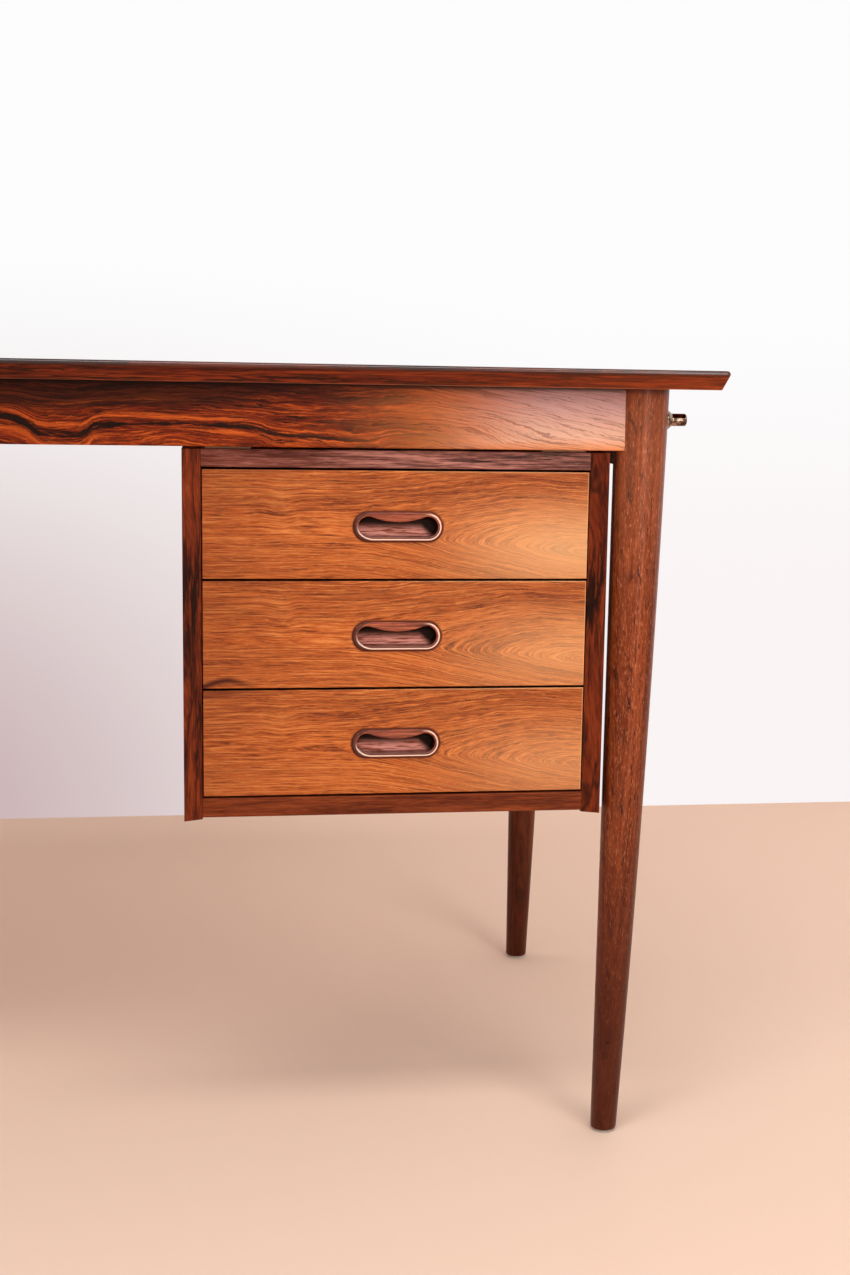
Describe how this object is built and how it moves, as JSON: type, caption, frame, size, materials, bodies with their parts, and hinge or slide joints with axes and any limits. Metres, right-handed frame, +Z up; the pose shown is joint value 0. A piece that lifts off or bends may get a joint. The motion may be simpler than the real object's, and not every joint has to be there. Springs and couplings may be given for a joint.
{
  "type": "extendable writing desk",
  "caption": "Writing desk on round tapered legs, with hung drawer pedestals, recessed drawer pulls and a loose end leaf that rests on brass rods drawn out of the legs.",
  "frame": {"origin": "on the floor, under the middle of the tabletop", "axes": "+X along the desk towards the end with the rods, +Y from the front to the back, +Z up"},
  "size_m": [1.5, 0.605, 0.73],
  "materials": {
    "top_veneer": "satin oil",
    "lipping_rosewood": "satin oil",
    "apron_rosewood": "satin oil",
    "leg_rosewood": "satin oil",
    "case_rosewood": "satin oil",
    "drawer_front_rosewood": "satin oil",
    "pull_rosewood": "satin oil",
    "drawer_maple": "plain",
    "inner_beech": "plain",
    "back_plywood": "plain",
    "brass": "aged, polished by use",
    "screw_steel": "dull",
    "glide_nylon": "matt"
  },
  "bodies": {
    "desk": {"top_panel": "top_veneer", "top_lippings": "lipping_rosewood", "front_apron": "apron_rosewood", "rear_apron": "apron_rosewood", "left_end_rail": "apron_rosewood", "right_end_rail": "apron_rosewood", "front_left_leg": "leg_rosewood", "front_right_leg": "leg_rosewood", "rear_left_leg": "leg_rosewood", "rear_right_leg": "leg_rosewood", "corner_blocks": "inner_beech", "cross_bearers": "inner_beech", "rod_guides": "inner_beech", "left_runners": "inner_beech", "right_runners": "inner_beech", "left_inner_side": "case_rosewood", "left_outer_side": "case_rosewood", "left_top_board": "case_rosewood", "left_bottom_board": "case_rosewood", "left_back_panel": "back_plywood", "right_inner_side": "case_rosewood", "right_outer_side": "case_rosewood", "right_top_board": "case_rosewood", "right_bottom_board": "case_rosewood", "right_back_panel": "back_plywood", "rod_bushes": "brass", "hanging_pegs": "brass", "top_screws": "screw_steel", "pedestal_screws": "screw_steel", "foot_glides": "glide_nylon"},
    "front_rod": {"front_rod": "brass"},
    "rear_rod": {"rear_rod": "brass"},
    "leaf": {"leaf_panel": "top_veneer", "leaf_lippings": "lipping_rosewood", "leaf_battens": "inner_beech", "leaf_screws": "screw_steel"},
    "left_drawer_1": {"left_drawer_1_front": "drawer_front_rosewood", "left_drawer_1_pull": "pull_rosewood", "left_drawer_1_carcass": "drawer_maple", "left_drawer_1_bottom": "drawer_maple"},
    "left_drawer_2": {"left_drawer_2_front": "drawer_front_rosewood", "left_drawer_2_pull": "pull_rosewood", "left_drawer_2_carcass": "drawer_maple", "left_drawer_2_bottom": "drawer_maple"},
    "left_drawer_3": {"left_drawer_3_front": "drawer_front_rosewood", "left_drawer_3_pull": "pull_rosewood", "left_drawer_3_carcass": "drawer_maple", "left_drawer_3_bottom": "drawer_maple"},
    "right_drawer_1": {"right_drawer_1_front": "drawer_front_rosewood", "right_drawer_1_pull": "pull_rosewood", "right_drawer_1_carcass": "drawer_maple", "right_drawer_1_bottom": "drawer_maple"},
    "right_drawer_2": {"right_drawer_2_front": "drawer_front_rosewood", "right_drawer_2_pull": "pull_rosewood", "right_drawer_2_carcass": "drawer_maple", "right_drawer_2_bottom": "drawer_maple"},
    "right_drawer_3": {"right_drawer_3_front": "drawer_front_rosewood", "right_drawer_3_pull": "pull_rosewood", "right_drawer_3_carcass": "drawer_maple", "right_drawer_3_bottom": "drawer_maple"}
  },
  "joints": [
    {"name": "left_drawer_1_slide", "type": "slide", "parent": "desk", "child": "left_drawer_1", "axis": [0, -1, 0], "range_m": [0, 0.33]},
    {"name": "left_drawer_2_slide", "type": "slide", "parent": "desk", "child": "left_drawer_2", "axis": [0, -1, 0], "range_m": [0, 0.33]},
    {"name": "left_drawer_3_slide", "type": "slide", "parent": "desk", "child": "left_drawer_3", "axis": [0, -1, 0], "range_m": [0, 0.33]},
    {"name": "right_drawer_1_slide", "type": "slide", "parent": "desk", "child": "right_drawer_1", "axis": [0, -1, 0], "range_m": [0, 0.33]},
    {"name": "right_drawer_2_slide", "type": "slide", "parent": "desk", "child": "right_drawer_2", "axis": [0, -1, 0], "range_m": [0, 0.33]},
    {"name": "right_drawer_3_slide", "type": "slide", "parent": "desk", "child": "right_drawer_3", "axis": [0, -1, 0], "range_m": [0, 0.33]},
    {"name": "front_rod_slide", "type": "slide", "parent": "desk", "child": "front_rod", "axis": [1, 0, 0], "range_m": [0, 0.3]},
    {"name": "rear_rod_slide", "type": "slide", "parent": "desk", "child": "rear_rod", "axis": [1, 0, 0], "range_m": [0, 0.3]},
    {"name": "leaf_lift_off", "type": "slide", "parent": "desk", "child": "leaf", "axis": [-1, 0, 0], "range_m": [0, 0.12]}
  ]
}
